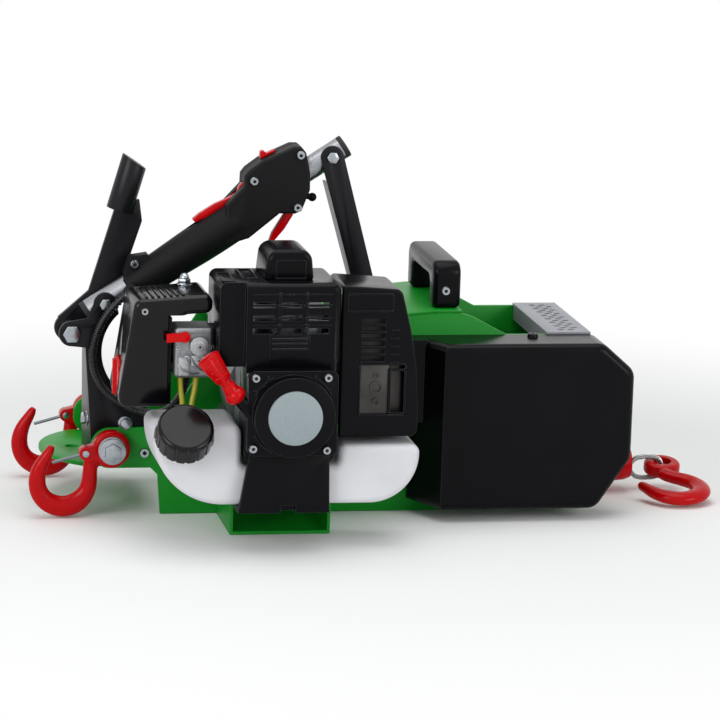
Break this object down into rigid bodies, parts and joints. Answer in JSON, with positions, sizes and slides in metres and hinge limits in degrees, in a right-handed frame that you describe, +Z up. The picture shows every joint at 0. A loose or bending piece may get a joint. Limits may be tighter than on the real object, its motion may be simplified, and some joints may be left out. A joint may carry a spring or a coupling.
{
  "type": "portable petrol rope winch",
  "caption": "Portable petrol winch: sheet-steel frame with a geared wire-rope drum, small two-stroke engine, throttle grip on a handlebar, drum lever, forged hooks and carry handle.",
  "frame": {"origin": "centre of the frame's base plate, on the ground", "axes": "+X along the frame towards the rope outlet, +Y from the engine side to the rear side, +Z up"},
  "size_m": [0.673, 0.3546, 0.3608],
  "materials": {
    "green_paint": "gloss powder coat",
    "black_plastic": "fine-grained moulding",
    "red_paint": "gloss enamel",
    "red_plastic": "glossy moulding",
    "black_paint": "satin paint",
    "satin_steel": "satin",
    "wire_rope": "drawn wire",
    "zinc_plate": "bright zinc",
    "cast_aluminium": "as cast",
    "bronze": "machined",
    "black_rubber": "matt",
    "white_plastic": "translucent blow moulding"
  },
  "bodies": {
    "frame": {"base_plate": "green_paint", "front_plate": "green_paint", "rear_plate": "green_paint", "top_cover": "green_paint", "end_plate": "green_paint", "anchor_tongue": "green_paint", "engine_foot": "green_paint", "carry_handle": "black_plastic", "transmission_cover": "black_plastic", "tube_caps": "black_plastic", "grip_front_half": "black_plastic", "grip_rear_half": "black_plastic", "throttle_conduit": "black_plastic", "engine_shroud": "black_plastic", "plug_cover": "black_plastic", "muffler_guard": "black_plastic", "filter_base": "black_plastic", "filter_cover": "black_plastic", "tank_guard": "black_plastic", "starter_housing": "black_plastic", "rope_guide": "red_paint", "bracket_left": "black_paint", "bracket_right": "black_paint", "drum_guard": "black_paint", "handlebar_tube": "satin_steel", "muffler": "satin_steel", "spark_plug": "satin_steel", "rope_end": "wire_rope", "fasteners": "zinc_plate", "starter_disc": "zinc_plate", "clutch_housing": "cast_aluminium", "crankcase": "cast_aluminium", "cylinder": "cast_aluminium", "carburettor": "cast_aluminium", "bearing_bushes": "bronze", "drive_belt": "black_rubber", "fuel_hoses": "black_rubber", "fuel_tank": "white_plastic"},
    "drum": {"drum": "satin_steel", "drum_gear": "satin_steel", "rope_winding": "wire_rope"},
    "second_shaft": {"second_shaft": "satin_steel", "second_gear": "satin_steel"},
    "belt_pulley": {"belt_pulley": "satin_steel"},
    "clutch_bell": {"clutch_bell": "satin_steel"},
    "crankshaft": {"crankshaft": "satin_steel", "flywheel": "cast_aluminium"},
    "drum_lever": {"drum_lever": "black_paint"},
    "trigger": {"trigger": "red_plastic"},
    "lockout_lever": {"lockout_lever": "red_plastic"},
    "stop_switch": {"stop_switch": "red_plastic"},
    "choke_lever": {"choke_lever": "red_plastic"},
    "tank_cap": {"tank_cap": "black_plastic"},
    "filter_knob": {"filter_knob": "red_plastic"},
    "starter_grip": {"starter_grip": "red_plastic"},
    "hook_front": {"hook_front": "red_paint"},
    "latch_front": {"latch_front": "zinc_plate"},
    "hook_rear": {"hook_rear": "red_paint"},
    "latch_rear": {"latch_rear": "zinc_plate"},
    "rope_hook": {"rope_hook": "red_paint"}
  },
  "joints": [
    {"name": "drum_spin", "type": "hinge", "parent": "frame", "child": "drum", "pos_m": [0.122, 0, 0.084], "axis": [0, 1, 0], "continuous": true},
    {"name": "second_spin", "type": "hinge", "parent": "frame", "child": "second_shaft", "pos_m": [0.18307, 0, 0.13171], "axis": [0, 1, 0], "continuous": true},
    {"name": "pulley_spin", "type": "hinge", "parent": "frame", "child": "belt_pulley", "pos_m": [0.13807, 0, 0.13171], "axis": [0, 1, 0], "continuous": true},
    {"name": "clutch_spin", "type": "hinge", "parent": "frame", "child": "clutch_bell", "pos_m": [-0.1105, 0, 0.132], "axis": [0, 1, 0], "continuous": true},
    {"name": "crank_spin", "type": "hinge", "parent": "frame", "child": "crankshaft", "pos_m": [-0.1105, 0, 0.132], "axis": [0, 1, 0], "continuous": true},
    {"name": "drum_lever_swing", "type": "hinge", "parent": "frame", "child": "drum_lever", "pos_m": [-0.2935, 0, 0.174], "axis": [0, -1, 0], "range_deg": [0, 35]},
    {"name": "trigger_pull", "type": "hinge", "parent": "frame", "child": "trigger", "pos_m": [-0.086, -0.056, 0.296], "axis": [0, 1, 0], "range_deg": [0, 16], "stiffness_Nm_per_rad": 0.2, "springref_deg": -11.46},
    {"name": "lockout_press", "type": "hinge", "parent": "frame", "child": "lockout_lever", "pos_m": [-0.128, -0.056, 0.312], "axis": [0, -1, 0], "range_deg": [0, 3], "stiffness_Nm_per_rad": 0.2, "springref_deg": -11.46},
    {"name": "stop_slide", "type": "slide", "parent": "frame", "child": "stop_switch", "axis": [0.909, 0, 0.4169], "range_m": [0, 0.006]},
    {"name": "choke_turn", "type": "hinge", "parent": "frame", "child": "choke_lever", "pos_m": [-0.204, -0.192, 0.195], "axis": [0, 1, 0], "range_deg": [0, 60]},
    {"name": "tank_cap_turn", "type": "hinge", "parent": "frame", "child": "tank_cap", "pos_m": [-0.207, -0.211, 0.098], "axis": [0, -0.7071, 0.7071], "range_deg": [0, 360]},
    {"name": "filter_knob_turn", "type": "hinge", "parent": "frame", "child": "filter_knob", "pos_m": [-0.258, -0.148, 0.15], "axis": [1, 0, 0], "range_deg": [0, 360]},
    {"name": "starter_pull", "type": "slide", "parent": "frame", "child": "starter_grip", "axis": [-0.6196, 0, 0.7849], "range_m": [0, 0.7], "stiffness_N_per_m": 20, "springref_m": -0.1},
    {"name": "hook_front_swing", "type": "hinge", "parent": "frame", "child": "hook_front", "pos_m": [-0.256, -0.0833, 0.066], "axis": [0, 1, 0], "range_deg": [0, 60]},
    {"name": "latch_front_swing", "type": "hinge", "parent": "hook_front", "child": "latch_front", "pos_m": [-0.2805, -0.0833, 0.0625], "axis": [0, -1, 0], "range_deg": [0, 45], "stiffness_Nm_per_rad": 0.05, "springref_deg": -17.19},
    {"name": "hook_rear_swing", "type": "hinge", "parent": "frame", "child": "hook_rear", "pos_m": [-0.256, 0.0833, 0.066], "axis": [0, 1, 0], "range_deg": [0, 60]},
    {"name": "latch_rear_swing", "type": "hinge", "parent": "hook_rear", "child": "latch_rear", "pos_m": [-0.2805, 0.0833, 0.0625], "axis": [0, -1, 0], "range_deg": [0, 45], "stiffness_Nm_per_rad": 0.05, "springref_deg": -17.19},
    {"name": "rope_hook_turn", "type": "hinge", "parent": "frame", "child": "rope_hook", "pos_m": [0.305, 0, 0.022], "axis": [0, -0.1702, 0.9854], "range_deg": [-30, 45]}
  ],
  "couplings": [
    {"joint": "second_spin", "follows": "drum_spin", "ratio": -4.1667},
    {"joint": "pulley_spin", "follows": "drum_spin", "ratio": 12.879},
    {"joint": "clutch_spin", "follows": "drum_spin", "ratio": 29.437}
  ]
}
